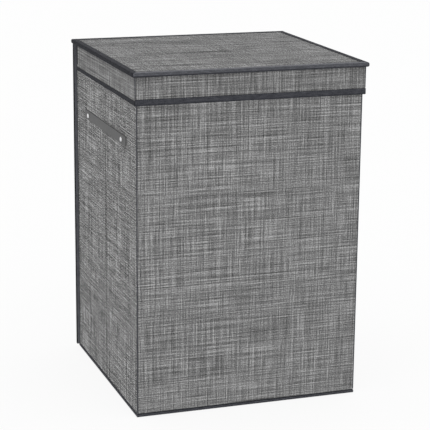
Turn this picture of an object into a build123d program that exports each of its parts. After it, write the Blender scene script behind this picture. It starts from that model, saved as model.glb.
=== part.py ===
"""Square collapsible laundry hamper with a hinged lid, lengths in millimetres.

The hamper is a box of fabric-covered boards. Its side walls crease down the
middle, so that the front can be pushed back against the rear wall. A base
board hinged at the rear lifts out of the way first, and a lid with a skirt
turns on a fabric hinge along the rear top edge.

Frame: +Z up, the front faces -Y, and the origin is the centre of the footprint.
"""
import os

from build123d import *

# ---------------------------------------------------------------- driving dimensions
BODY_WIDTH = 404.0          # across the outer faces of the side walls
BODY_DEPTH = 400.0          # across the outer faces of the front and rear walls
HEIGHT = 600.0              # floor to the top of the closed lid
SKIRT_HEIGHT = 55.5         # top of the lid to the skirt's lower edge
TAPE_WIDTH = 11.5           # binding tape seen on the lid and its skirt
HEM_WIDTH = 2.0             # binding tape seen along the foot of each wall
CREASE_ANGLE = 84.0         # how far each side half turns when the hamper is folded

# layers of a wall, from the outside in
COVER = 0.8                 # woven cover
BOARD = 3.0                 # stiffening board
LINING = 0.7                # non-woven lining
WALL = COVER + BOARD + LINING
TAPE = 0.7                  # thickness of one leg of binding tape

# lid
LID_BOARD = 4.8
LID_PANEL = COVER + LID_BOARD + LINING
SKIRT_BOARD = 1.2
SKIRT_WALL = SKIRT_BOARD + COVER
SKIRT_CLEARANCE = 1.7       # gap between a wall and the skirt round it
LEDGE = 5.5                 # how far the lid's bound edge stands out past the skirt
OVERHANG = SKIRT_CLEARANCE + SKIRT_WALL + LEDGE
SKIRT_REAR_GAP = 20.0       # side skirts stop this far short of the rear wall's face
LID_GAP = 0.5               # lid lining to the bound wall tops
LID_BOARD_INSET = 1.0       # lid cover's thickness where it turns down over the board's edges
LID_HINGE_DROP = 22.0       # hinge tape's reach down the rear wall
LID_HINGE_INSET = 11.0      # hinge tape's ends in from the body's sides

# floor and base board
FLOOR_FABRIC = 0.8
BASE_COVER = 0.4
BASE_BOARD = 2.4
BASE_BOTTOM = 1.0
BASE_TOP = BASE_BOTTOM + BASE_BOARD + 2 * BASE_COVER
BASE_REAR_GAP = 2.2         # base board to the rear lining
BASE_SIDE_GAP = 1.3         # base board to the hem tape inside each side wall
BASE_FRONT_GAP = 0.6        # base board to the hem tape inside the front wall
BASE_HINGE_THICKNESS = 1.0
BASE_HINGE_INSET = 8.0      # hinge tape's ends in from the board's sides
TAB_THICKNESS = 0.4
TAB_WIDTH = 20.0
TAB_LENGTH = 38.0
TAB_SETBACK = 2.0           # ribbon tab to the board's front edge
BASE_HINGE_LIFT = 0.3       # hinge line above and behind the board's rear edge
WALL_FOOT = 5.0             # every folding wall starts above the base board
FLOOR_EDGE_TOP = 4.6

# rear corners
FLANGE = 6.0                # the rear wall stands out this far past each side wall
SPINE = 7.5                 # strip of side fabric fixed to the rear wall
SIDE_END_GAP = 0.8          # gap at the rear end of each side wall
HINGE_CLEARANCE = 0.9       # fold lines lie this far outside the faces that close on them
CREASE_GAP = 0.6            # half of the gap between two side halves
SLIP = 0.1                  # least gap between neighbouring pieces
LEG_GAP = 0.2               # rear wall's edge tape to the hem tape of a side wall

# handles
STRAP_WIDTH = 17.0
STRAP_THICKNESS = 1.8
STRAP_HEIGHT = 472.0        # centre line above the floor
STRAP_HALF_LENGTH = 136.0
STRAP_STANDOFF = 1.2        # how far the strap bows out at the crease
STRAP_SEAT = SLIP           # strap ends above the cover
STRAP_FLAT = 18.0           # flat length each side of a rivet
RIVET_OFFSET = 110.0        # rivets either side of the crease
RIVET_CAP_RADIUS = 4.2
RIVET_CAP_HEIGHT = 1.9
RIVET_CAP_ROUND = 1.5
RIVET_POST_RADIUS = 1.6
RIVET_HOLE_RADIUS = 1.68
WASHER_RADIUS = 5.5
WASHER_THICKNESS = 0.9
DRILL_REACH = 5.0           # rivet holes are cut this far past both faces of a wall

# ---------------------------------------------------------------- derived places
HALF_WIDTH = BODY_WIDTH / 2
TOTAL_DEPTH = BODY_DEPTH + OVERHANG + TAPE
REAR_FACE = TOTAL_DEPTH / 2 - TAPE
FRONT_FACE = REAR_FACE - BODY_DEPTH
SIDE_FRONT_END = FRONT_FACE + WALL + HINGE_CLEARANCE + SLIP
SIDE_HINGE_Y = REAR_FACE - WALL - SPINE
FRONT_HINGE_Y = FRONT_FACE + WALL + HINGE_CLEARANCE
CREASE_Y = (SIDE_HINGE_Y + FRONT_HINGE_Y) / 2

LID_COVER_TOP = HEIGHT - TAPE
LID_BOTTOM = LID_COVER_TOP - LID_PANEL
WALL_TOP = LID_BOTTOM - LID_GAP
LAYER_TOP = WALL_TOP - TAPE
LAYER_FOOT = WALL_FOOT + TAPE

LID_REAR = REAR_FACE - SLIP
SKIRT_INNER = HALF_WIDTH + SKIRT_CLEARANCE
SKIRT_OUTER = SKIRT_INNER + SKIRT_WALL
SKIRT_FRONT_INNER = FRONT_FACE - SKIRT_CLEARANCE
SKIRT_FRONT_OUTER = SKIRT_FRONT_INNER - SKIRT_WALL
SKIRT_REAR = REAR_FACE - SKIRT_REAR_GAP
SKIRT_BOTTOM = HEIGHT - SKIRT_HEIGHT
LID_EDGE_X = SKIRT_OUTER + LEDGE - TAPE
LID_FRONT = SKIRT_FRONT_OUTER - LEDGE + TAPE

BASE_HALF_WIDTH = HALF_WIDTH - WALL - TAPE - BASE_SIDE_GAP
BASE_REAR = REAR_FACE - WALL - BASE_REAR_GAP
BASE_FRONT = FRONT_FACE + WALL + TAPE + BASE_FRONT_GAP

PARTS_FOLDER = "parts"


def save(name, shape):
    """Write one sub-part under its own name."""
    export_step(shape, os.path.join(PARTS_FOLDER, name + ".step"))


def block(x0, x1, y0, y1, z0, z1):
    """A plain block between two corners."""
    centre = Pos((x0 + x1) / 2, (y0 + y1) / 2, (z0 + z1) / 2)
    return centre * Box(x1 - x0, y1 - y0, z1 - z0)


def slab(side, u0, u1, d0, d1, z0, z1):
    """A block on one wall: u runs along the wall, d goes in from its outer face."""
    if side == "front":
        return block(u0, u1, FRONT_FACE + d0, FRONT_FACE + d1, z0, z1)
    if side == "rear":
        return block(u0, u1, REAR_FACE - d1, REAR_FACE - d0, z0, z1)
    if side == "left":
        return block(-HALF_WIDTH + d0, -HALF_WIDTH + d1, u0, u1, z0, z1)
    return block(HALF_WIDTH - d1, HALF_WIDTH - d0, u0, u1, z0, z1)


# ---------------------------------------------------------------- walls
def wall_cover(side, u0, u1):
    """The woven cover: an outer sheet that turns in round both ends of the board."""
    sheet = slab(side, u0, u1, 0, COVER, LAYER_FOOT, LAYER_TOP)
    first_return = slab(side, u0, u0 + COVER, 0, WALL, LAYER_FOOT, LAYER_TOP)
    last_return = slab(side, u1 - COVER, u1, 0, WALL, LAYER_FOOT, LAYER_TOP)
    return sheet + first_return + last_return


def wall_board(side, u0, u1):
    return slab(side, u0 + COVER, u1 - COVER, COVER, COVER + BOARD, LAYER_FOOT, LAYER_TOP)


def wall_lining(side, u0, u1):
    return slab(side, u0 + COVER, u1 - COVER, COVER + BOARD, WALL, LAYER_FOOT, LAYER_TOP)


def top_binding(side, u0, u1):
    """Tape folded over the top edge of a wall."""
    low = WALL_TOP - TAPE_WIDTH
    outer_leg = slab(side, u0, u1, -TAPE, 0, low, WALL_TOP)
    web = slab(side, u0, u1, 0, WALL, LAYER_TOP, WALL_TOP)
    inner_leg = slab(side, u0, u1, WALL, WALL + TAPE, low, WALL_TOP)
    return outer_leg + web + inner_leg


def hem_binding(side, u0, u1):
    """Tape folded under the foot of a wall."""
    high = WALL_FOOT + HEM_WIDTH
    outer_leg = slab(side, u0, u1, -TAPE, 0, WALL_FOOT, high)
    web = slab(side, u0, u1, 0, WALL, WALL_FOOT, LAYER_FOOT)
    inner_leg = slab(side, u0, u1, WALL, WALL + TAPE, WALL_FOOT, high)
    return outer_leg + web + inner_leg


def make_front_wall():
    edge = HALF_WIDTH
    save("front_cover", wall_cover("front", -edge, edge))
    save("front_board", wall_board("front", -edge, edge))
    save("front_lining", wall_lining("front", -edge, edge))
    save("front_top_binding", top_binding("front", -edge, edge))
    save("front_hem_binding", hem_binding("front", -edge, edge))


def make_rear_wall():
    """The rear wall is wider than the body, and its side edges are bound with tape."""
    edge = HALF_WIDTH + FLANGE
    inner_edge = HALF_WIDTH - WALL - TAPE
    save("back_cover", wall_cover("rear", -edge, edge))
    save("back_board", wall_board("rear", -edge, edge))
    save("back_lining", wall_lining("rear", -edge, edge))
    top_web = slab("rear", -edge, edge, 0, WALL, LAYER_TOP, WALL_TOP)
    leg_low = WALL_TOP - TAPE_WIDTH
    top_leg = slab("rear", -inner_edge, inner_edge, WALL, WALL + TAPE, leg_low, WALL_TOP)
    save("back_top_binding", top_web + top_leg)
    hem_top = WALL_FOOT + HEM_WIDTH
    hem_web = slab("rear", -edge, edge, 0, WALL, WALL_FOOT, LAYER_FOOT)
    hem_outer = slab("rear", -edge, edge, -TAPE, 0, WALL_FOOT, hem_top)
    hem_inner = slab("rear", -inner_edge, inner_edge, WALL, WALL + TAPE, WALL_FOOT, hem_top)
    save("back_hem_binding", hem_web + hem_outer + hem_inner)
    for name, sign in (("left", -1), ("right", 1)):
        outside = edge + TAPE
        leg_reach = edge - TAPE_WIDTH
        low = hem_top
        end_web = slab("rear", edge, outside, -TAPE, WALL + TAPE, low, WALL_TOP)
        rear_leg = slab("rear", leg_reach, edge, -TAPE, 0, low, WALL_TOP)
        front_leg = slab("rear", HALF_WIDTH + TAPE + LEG_GAP, edge, WALL, WALL + TAPE, low, WALL_TOP)
        binding = end_web + rear_leg + front_leg
        if sign < 0:
            binding = mirror(binding, about=Plane.YZ)
        save("back_" + name + "_edge_binding", binding)


def make_rear_gussets():
    """The strip of side wall that stays with the rear wall, behind each side hinge."""
    for side in ("left", "right"):
        strip = slab(side, SIDE_HINGE_Y, REAR_FACE - WALL, 0, WALL, WALL_FOOT, WALL_TOP)
        save(side + "_rear_gusset", strip)


def make_side_halves():
    """Each side wall is two halves with a crease between them and a rivet in each."""
    halves = {
        "rear": (CREASE_Y + CREASE_GAP, SIDE_HINGE_Y - SIDE_END_GAP, CREASE_Y + RIVET_OFFSET),
        "front": (SIDE_FRONT_END, CREASE_Y - CREASE_GAP, CREASE_Y - RIVET_OFFSET),
    }
    for side in ("left", "right"):
        for half, (u0, u1, rivet_y) in halves.items():
            name = side + "_" + half
            hole = rivet_hole(side, rivet_y)
            save(name + "_cover", wall_cover(side, u0, u1) - hole)
            save(name + "_board", wall_board(side, u0, u1) - hole)
            save(name + "_lining", wall_lining(side, u0, u1) - hole)
            save(name + "_top_binding", top_binding(side, u0, u1))
            save(name + "_hem_binding", hem_binding(side, u0, u1))
            save(name + "_rivet", make_rivet(side, rivet_y))


# ---------------------------------------------------------------- handles
def on_side(side, shape):
    """Move a shape from the right wall, where +X is outward, to the named wall."""
    if side == "left":
        return mirror(shape, about=Plane.YZ)
    return shape


def rivet_hole(side, y):
    """The hole that a rivet's post passes through, as a cylinder to cut with."""
    length = WALL + 2 * DRILL_REACH
    centre = Pos(HALF_WIDTH - WALL / 2, y, STRAP_HEIGHT)
    return on_side(side, centre * Rot(0, 90, 0) * Cylinder(RIVET_HOLE_RADIUS, length))


def make_rivet(side, y):
    """Domed cap outside, post through the strap and the wall, washer inside."""
    seat = HALF_WIDTH + STRAP_SEAT + STRAP_THICKNESS
    inner = HALF_WIDTH - WALL
    along_x = Rot(0, 90, 0)
    washer = Pos(inner - WASHER_THICKNESS / 2, y, STRAP_HEIGHT) * along_x
    washer = washer * Cylinder(WASHER_RADIUS, WASHER_THICKNESS)
    post = Pos((inner + seat) / 2, y, STRAP_HEIGHT) * along_x
    post = post * Cylinder(RIVET_POST_RADIUS, seat - inner)
    cap = Pos(seat + RIVET_CAP_HEIGHT / 2, y, STRAP_HEIGHT) * along_x
    cap = cap * Cylinder(RIVET_CAP_RADIUS, RIVET_CAP_HEIGHT)
    rim = cap.faces().sort_by(Axis.X)[-1].edges()
    cap = fillet(rim, RIVET_CAP_ROUND)
    return on_side(side, washer + post + cap)


def make_straps():
    """Flat at both riveted ends, and bowed out a little where it crosses the crease."""
    seat = HALF_WIDTH + STRAP_SEAT
    bow_end = RIVET_OFFSET - STRAP_FLAT
    ends = []
    for lift, bow in ((0.0, STRAP_STANDOFF), (STRAP_THICKNESS, STRAP_STANDOFF + STRAP_THICKNESS)):
        rear_flat = Line((seat + lift, STRAP_HALF_LENGTH), (seat + lift, bow_end))
        arc = ThreePointArc((seat + lift, bow_end), (seat + bow, 0), (seat + lift, -bow_end))
        front_flat = Line((seat + lift, -bow_end), (seat + lift, -STRAP_HALF_LENGTH))
        ends += [rear_flat, arc, front_flat]
    for y in (-STRAP_HALF_LENGTH, STRAP_HALF_LENGTH):
        ends.append(Line((seat, y), (seat + STRAP_THICKNESS, y)))
    strip = extrude(make_face(ends), amount=STRAP_WIDTH)
    strip = Pos(0, CREASE_Y, STRAP_HEIGHT - STRAP_WIDTH / 2) * strip
    for side in ("left", "right"):
        strap = on_side(side, strip)
        for y in (CREASE_Y - RIVET_OFFSET, CREASE_Y + RIVET_OFFSET):
            strap = strap - rivet_hole(side, y)
        save(side + "_handle_strap", strap)


# ---------------------------------------------------------------- floor and base board
def make_floor():
    """Sewn fabric floor with a bound edge, which the hamper stands on."""
    inset = TAPE + SLIP
    half = HALF_WIDTH - inset
    panel = block(-half, half, FRONT_FACE + inset, REAR_FACE - inset, 0, FLOOR_FABRIC)
    save("floor_panel", panel)
    outer = HALF_WIDTH + TAPE
    inner = HALF_WIDTH - TAPE
    top = FLOOR_EDGE_TOP
    ring = block(-outer, outer, FRONT_FACE - TAPE, REAR_FACE + TAPE, 0, top)
    window = block(-inner, inner, FRONT_FACE + TAPE, REAR_FACE - TAPE, 0, top)
    save("floor_edge_binding", ring - window)


def make_base_board():
    """Board in a fabric sleeve that opens at the rear, hinged along the foot of the rear wall."""
    edge = BASE_HALF_WIDTH
    sleeve = block(-edge, edge, BASE_FRONT, BASE_REAR, BASE_BOTTOM, BASE_TOP)
    board = block(
        -edge + BASE_COVER, edge - BASE_COVER,
        BASE_FRONT + BASE_COVER, BASE_REAR,
        BASE_BOTTOM + BASE_COVER, BASE_TOP - BASE_COVER,
    )
    save("base_cover", sleeve - board)
    save("base_board", board)
    tab_front = BASE_FRONT + TAB_SETBACK
    tab_rear = tab_front + TAB_LENGTH
    tab_top = BASE_TOP + TAB_THICKNESS
    save("base_pull_tab", block(-TAB_WIDTH / 2, TAB_WIDTH / 2, tab_front, tab_rear, BASE_TOP, tab_top))
    reach = edge - BASE_HINGE_INSET
    tape_front = BASE_REAR + LEG_GAP
    tape_rear = tape_front + BASE_HINGE_THICKNESS
    tape = block(-reach, reach, tape_front, tape_rear, BASE_BOTTOM + LEG_GAP, BASE_TOP - LEG_GAP)
    save("base_hinge_tape", tape)


# ---------------------------------------------------------------- lid
def make_lid_panel():
    """Board between a woven cover and a lining, with taped edges all round."""
    x = LID_EDGE_X
    inset = LID_BOARD_INSET
    bottom = LID_BOTTOM
    lining_top = bottom + LINING
    board_top = lining_top + LID_BOARD
    save("lid_lining", block(-x, x, LID_FRONT, LID_REAR, bottom, lining_top))
    board = block(-x + inset, x - inset, LID_FRONT + inset, LID_REAR - inset, lining_top, board_top)
    save("lid_board", board)
    sheet = block(-x, x, LID_FRONT, LID_REAR, lining_top, LID_COVER_TOP)
    save("lid_cover", sheet - board)

    outer = x + TAPE
    front = LID_FRONT - TAPE
    full = block(-outer, outer, front, LID_REAR, bottom, HEIGHT)
    panel = block(-x, x, LID_FRONT, LID_REAR, bottom, LID_COVER_TOP)
    window_x = outer - TAPE_WIDTH
    window = block(-window_x, window_x, front + TAPE_WIDTH, LID_REAR - TAPE_WIDTH, bottom, HEIGHT)
    save("lid_edge_binding", full - panel - window)


def skirt_strip(side, depth0, depth1, z0, z1):
    """A block of the skirt; depth goes out from the skirt's inner face."""
    if side == "front":
        reach = SKIRT_OUTER
        return block(-reach, reach, SKIRT_FRONT_INNER - depth1, SKIRT_FRONT_INNER - depth0, z0, z1)
    strip = block(SKIRT_INNER + depth0, SKIRT_INNER + depth1, SKIRT_FRONT_INNER, SKIRT_REAR, z0, z1)
    return on_side(side, strip)


def make_skirt():
    """Three boards with woven covers hang from the lid, bound along the lower edge."""
    low = SKIRT_BOTTOM + TAPE
    high = LID_BOTTOM
    band_top = SKIRT_BOTTOM + TAPE_WIDTH
    for side in ("front", "left", "right"):
        save("skirt_" + side + "_board", skirt_strip(side, 0, SKIRT_BOARD, low, high))
        save("skirt_" + side + "_cover", skirt_strip(side, SKIRT_BOARD, SKIRT_WALL, low, high))
    tapes = []
    for side in ("left", "right"):
        web = skirt_strip(side, 0, SKIRT_WALL, SKIRT_BOTTOM, low)
        outer_leg = skirt_strip(side, SKIRT_WALL, SKIRT_WALL + TAPE, SKIRT_BOTTOM, band_top)
        inner_leg = skirt_strip(side, -TAPE, 0, SKIRT_BOTTOM, band_top)
        tapes.append(web + outer_leg + inner_leg)
    reach = SKIRT_OUTER
    outer_y = SKIRT_FRONT_INNER - SKIRT_WALL
    web = block(-reach, reach, outer_y, SKIRT_FRONT_INNER, SKIRT_BOTTOM, low)
    outer_leg = block(-reach - TAPE, reach + TAPE, outer_y - TAPE, outer_y, SKIRT_BOTTOM, band_top)
    inner_reach = SKIRT_INNER - TAPE
    inner_leg = block(
        -inner_reach, inner_reach, SKIRT_FRONT_INNER, SKIRT_FRONT_INNER + TAPE, SKIRT_BOTTOM, band_top
    )
    tapes.append(web + outer_leg + inner_leg)
    save("skirt_binding", Compound(children=tapes))


def make_lid_hinge():
    """Fabric hinge: tape down the outside of the rear wall and up to the lid's rear edge."""
    reach = HALF_WIDTH - LID_HINGE_INSET
    low = WALL_TOP - LID_HINGE_DROP
    tape = block(-reach, reach, REAR_FACE, REAR_FACE + TAPE, low, HEIGHT - LEG_GAP)
    save("lid_hinge_tape", tape)


def main():
    os.makedirs(PARTS_FOLDER, exist_ok=True)
    make_front_wall()
    make_rear_wall()
    make_rear_gussets()
    make_side_halves()
    make_straps()
    make_floor()
    make_base_board()
    make_lid_panel()
    make_skirt()
    make_lid_hinge()
    crease_x = HALF_WIDTH + HINGE_CLEARANCE
    corner_x = HALF_WIDTH - WALL - HINGE_CLEARANCE
    print("lid hinge y", REAR_FACE + HINGE_CLEARANCE, "z", HEIGHT)
    print("side fold x", corner_x, "y", SIDE_HINGE_Y)
    print("crease x", crease_x, "y", CREASE_Y, "angle", CREASE_ANGLE)
    print("front corner x", corner_x, "y", FRONT_HINGE_Y)
    print("base hinge y", BASE_REAR + BASE_HINGE_LIFT, "z", BASE_TOP + BASE_HINGE_LIFT)


main()
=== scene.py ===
import math
import bpy
import numpy as np
from mathutils import Matrix, Vector


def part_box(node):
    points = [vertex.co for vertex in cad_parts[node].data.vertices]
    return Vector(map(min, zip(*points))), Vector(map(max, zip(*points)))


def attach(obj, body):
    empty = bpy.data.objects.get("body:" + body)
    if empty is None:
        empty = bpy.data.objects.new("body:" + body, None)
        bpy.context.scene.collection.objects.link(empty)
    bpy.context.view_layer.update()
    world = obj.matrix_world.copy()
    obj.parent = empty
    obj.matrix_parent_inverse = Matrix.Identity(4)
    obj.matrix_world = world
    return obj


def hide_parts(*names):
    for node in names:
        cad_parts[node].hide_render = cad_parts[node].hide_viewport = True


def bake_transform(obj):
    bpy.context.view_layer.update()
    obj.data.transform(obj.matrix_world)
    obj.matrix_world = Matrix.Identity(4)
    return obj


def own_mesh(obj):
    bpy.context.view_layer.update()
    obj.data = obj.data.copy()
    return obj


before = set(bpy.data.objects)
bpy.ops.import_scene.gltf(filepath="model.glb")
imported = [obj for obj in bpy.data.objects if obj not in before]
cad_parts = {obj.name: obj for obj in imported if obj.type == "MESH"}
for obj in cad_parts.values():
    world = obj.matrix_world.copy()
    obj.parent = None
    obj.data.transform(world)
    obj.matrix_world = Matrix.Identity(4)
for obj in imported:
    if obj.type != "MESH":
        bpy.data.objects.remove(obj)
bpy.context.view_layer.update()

# Lengths are in millimetres up to the point where a mesh is made.
MM = 0.001


def mm_box(node):
    """The lowest and highest corners of a CAD node, in millimetres."""
    low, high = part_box(node)
    return np.array(low, float) / MM, np.array(high, float) / MM


# The hamper's own sizes, read from the CAD nodes.
front_low, front_high = mm_box("front_cover")
back_high = mm_box("back_cover")[1]
lid_low, lid_high = mm_box("lid_cover")
WALL_X = front_high[0]                      # outer face of the side walls
FRONT_Y = front_low[1]                      # outer face of the front wall
BACK_Y = back_high[1]                       # outer face of the back wall
BACK_X = back_high[0]                       # half width of the back wall, with its flanges
WALL = front_high[1] - front_low[1]         # thickness of a wall, cover and lining included
WALL_LOW, WALL_HIGH = front_low[2], front_high[2]
SIDE_FRONT, FRONT_HALF_END = [corner[1] for corner in mm_box("left_front_cover")]
REAR_HALF_END, SIDE_REAR = [corner[1] for corner in mm_box("left_rear_cover")]
CREASE_Y = (FRONT_HALF_END + REAR_HALF_END) / 2     # where a side wall folds
GUSSET_LOW, GUSSET_HIGH = mm_box("left_rear_gusset")
LID_X, LID_FRONT, LID_REAR = lid_high[0], lid_low[1], lid_high[1]
LID_TOP = lid_high[2]
LID_LOW = mm_box("lid_lining")[0][2]
SKIRT_X = -mm_box("skirt_left_cover")[0][0]
SKIRT_Y = mm_box("skirt_front_cover")[0][1]
SKIRT_LOW = mm_box("skirt_front_cover")[0][2]
SKIRT_INNER_X = mm_box("skirt_right_board")[0][0]
SKIRT_INNER_Y = mm_box("skirt_front_board")[1][1]
SKIRT_REAR = mm_box("skirt_left_cover")[1][1]
SKIRT_BAND_TOP = mm_box("skirt_binding")[1][2]
HEM_TOP = mm_box("front_hem_binding")[1][2]
TOP_TAPE_FOOT = mm_box("front_top_binding")[0][2]
STRAP_LOW, STRAP_HIGH = mm_box("left_handle_strap")
TAPE = 0.7                                  # thickness of the binding tape
TAPE_LEG = WALL_HIGH - TOP_TAPE_FOOT        # how far a folded tape reaches over the cloth
HEM_LEG = HEM_TOP - WALL_LOW                # the same on the inner face of a wall's foot

CLOTH = 0.7                 # thickness of the woven cover
LINING = 0.5                # thickness of the lining felt
FELT_SHORT = 0.3            # how far the lining stops short of a wall's top and foot
CORNER = 1.6                # radius of the cloth round a wall's edge
LID_CORNER = 4.0            # radius of the lid's front corners
CORNER_TURNS = 4            # steps of the edge tape round each of those corners
TUCK = 0.1                  # how far the cloth stops short of a wall's inner face

CELL = 6.0                  # usual spacing of a sheet's points
TAPE_CELL = 8.0             # widest spacing of a tape's points along its edge
STRAIGHT = 0.001            # half-turns below this, in radians, are no corner
SHARP = math.radians(50)    # an edge that turns further than this is shaded as an edge
SIDES = ((-1, "left"), (1, "right"))


# ---------------------------------------------------------------- meshes

def unit(v):
    """The same directions with a length of one."""
    length = np.linalg.norm(v, axis=-1, keepdims=True)
    return v / np.maximum(length, 1e-12)


def line(a, b, step):
    """Points from a to b, b left out, no further apart than step."""
    a, b = np.array(a, float), np.array(b, float)
    count = max(1, int(math.ceil(np.linalg.norm(b - a) / step)))
    return [a + (b - a) * k / count for k in range(count)]


def marks(low, high, step):
    """Numbers from low to high, both included, no further apart than step."""
    return np.array([p[0] for p in line([low], [high], step)] + [high])


def rounded(points, radius, step=CELL, turns=5):
    """The open polyline through points, with its corners rounded."""
    points = [np.array(p, float) for p in points]
    out, at = [], points[0]
    for before, corner, after in zip(points, points[1:], points[2:]):
        d0, d1 = unit(corner - before), unit(after - corner)
        half = math.acos(max(-1.0, min(1.0, float(d0 @ d1)))) / 2
        if half < STRAIGHT:
            out += line(at, corner, step)
            at = corner
            continue
        cut = radius * math.tan(half)
        start, end = corner - d0 * cut, corner + d1 * cut
        out += line(at, start, step)
        centre = start + unit(d1 - d0 * float(d0 @ d1)) * radius
        for k in range(turns):
            t = k / turns
            spoke = unit((1 - t) * unit(start - centre) + t * unit(end - centre))
            out.append(centre + spoke * radius)
        at = end
    out += line(at, points[-1], step)
    out.append(points[-1])
    return np.array(out)


def lengths(points):
    """How far along the polyline each of its points is."""
    gaps = np.linalg.norm(np.diff(points, axis=0), axis=1)
    return np.concatenate([[0.0], np.cumsum(gaps)])


def swell(u, v, seed, size=70.0):
    """A smooth, seeded unevenness from about -1 to 1, with bumps of about that size."""
    waves, scale_down = 7, 4.0
    rng = np.random.default_rng(seed)
    total = np.zeros(np.broadcast(u, v).shape)
    for _ in range(waves):
        angle, phase = rng.uniform(0, 2 * math.pi, 2)
        wave = size * rng.uniform(0.6, 1.7)
        total = total + np.sin(2 * math.pi * (u * math.cos(angle) + v * math.sin(angle)) / wave + phase)
    return total / scale_down


def grid_normals(grid, closed=False):
    """Which way a grid of points faces at each of them."""
    if closed:
        du = np.roll(grid, -1, axis=0) - np.roll(grid, 1, axis=0)
    else:
        du = np.gradient(grid, axis=0)
    return unit(np.cross(du, np.gradient(grid, axis=1)))


def finish_mesh(name, verts, faces, uvs, look):
    """The object made of these faces, in metres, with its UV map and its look."""
    mesh = bpy.data.meshes.new(name)
    mesh.from_pydata((np.asarray(verts) * MM).tolist(), [], faces)
    layer = mesh.uv_layers.new(name="UVMap")
    layer.data.foreach_set("uv", (np.asarray(uvs, np.float32) * MM).ravel())
    mesh.polygons.foreach_set("use_smooth", [True] * len(mesh.polygons))
    mesh.set_sharp_from_angle(angle=SHARP)
    mesh.materials.append(look)
    mesh.update()
    obj = bpy.data.objects.new(name, mesh)
    bpy.context.scene.collection.objects.link(obj)
    return obj


def shell(name, outer, uv, thickness, look, closed=False):
    """A thin closed sheet. outer is the grid of its outer face, and the thickness goes inwards.

    closed joins the grid's last row to its first, and then uv has a row more than outer.
    """
    n, m = outer.shape[:2]
    inner = outer - grid_normals(outer, closed) * thickness
    verts = np.concatenate([outer.reshape(-1, 3), inner.reshape(-1, 3)])
    back = n * m
    faces, uvs = [], []

    def add(corners):
        faces.append([side * back + (i % n) * m + j for side, i, j in corners])
        uvs.extend(uv[i, j] for _, i, j in corners)

    for i in range(n if closed else n - 1):
        for j in range(m - 1):
            add([(0, i, j), (0, i + 1, j), (0, i + 1, j + 1), (0, i, j + 1)])
            add([(1, i, j), (1, i, j + 1), (1, i + 1, j + 1), (1, i + 1, j)])
        add([(0, i + 1, 0), (0, i, 0), (1, i, 0), (1, i + 1, 0)])
        add([(0, i, m - 1), (0, i + 1, m - 1), (1, i + 1, m - 1), (1, i, m - 1)])
    if not closed:
        for j in range(m - 1):
            add([(0, 0, j), (0, 0, j + 1), (1, 0, j + 1), (1, 0, j)])
            add([(0, n - 1, j + 1), (0, n - 1, j), (1, n - 1, j), (1, n - 1, j + 1)])
    return finish_mesh(name, verts, faces, uvs, look)


def upright(name, path, low, high, thickness, look, seed=1, bow=0.25, groove=None, origin=0.0):
    """A sheet that stands on a line drawn in plan, with its outer face on the right of the way it runs.

    groove is where in Y it is, how deep and how wide. origin is where along the line U is nought.
    """
    levels = marks(low, high, CELL)
    along = lengths(path)
    grid = np.zeros((len(path), len(levels), 3))
    grid[:, :, 0:2] = path[:, None, :]
    grid[:, :, 2] = levels[None, :]
    u, v = np.meshgrid(along, levels, indexing="ij")
    normal = grid_normals(grid)
    from_end = np.minimum(u, along[-1] - u)
    rim = np.minimum(from_end / 30.0, np.minimum(v - low, high - v) / 22.0).clip(0, 1)
    pucker = 0.12 * np.sin(v / 5.3 + 2.0 * swell(u, v, seed + 9)) * np.exp(-from_end / 9.0)
    push = bow * swell(u, v, seed, 95.0) * rim + pucker * rim
    if groove is not None:
        place, deep, wide = groove
        push = push - deep * np.exp(-((path[:, 1:2] - place) / wide) ** 2)
    grid = grid + normal * push[:, :, None]
    uv = np.stack([u - origin, v], axis=-1)
    return shell(name, grid, uv, thickness, look)


def flat(name, low, high, z, up, thickness, look, seed=1, crown=0.3, step=CELL):
    """A level sheet between two corners in plan, with its outer face up and crowned, or down and flat."""
    xs = marks(low[0], high[0], step)
    ys = marks(low[1], high[1], step)
    x, y = np.meshgrid(xs, ys, indexing="ij")
    rim = np.minimum(np.minimum(x - low[0], high[0] - x), np.minimum(y - low[1], high[1] - y)) / 30.0
    rim = rim.clip(0, 1)
    lift = crown * (rim * (1 + 0.6 * swell(x, y, seed, 110.0)))
    grid = np.stack([x, y, z + lift * up], axis=-1)
    uv = np.stack([x, y], axis=-1)
    if not up:
        grid, uv = grid[::-1], uv[::-1]
    return shell(name, grid, uv, thickness, look)


def fold_profile(thick, outer_leg, inner_leg, radius=None):
    """The outer line of a tape folded over an edge: how far over the cloth, and how far out of its face."""
    if radius is None:
        radius = min(2.0, (thick + 2 * TAPE) * 0.42)
    corners = [(outer_leg, TAPE), (-TAPE, TAPE), (-TAPE, -thick - TAPE), (inner_leg, -thick - TAPE)]
    return rounded(corners, radius, step=2.0, turns=4)


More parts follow.
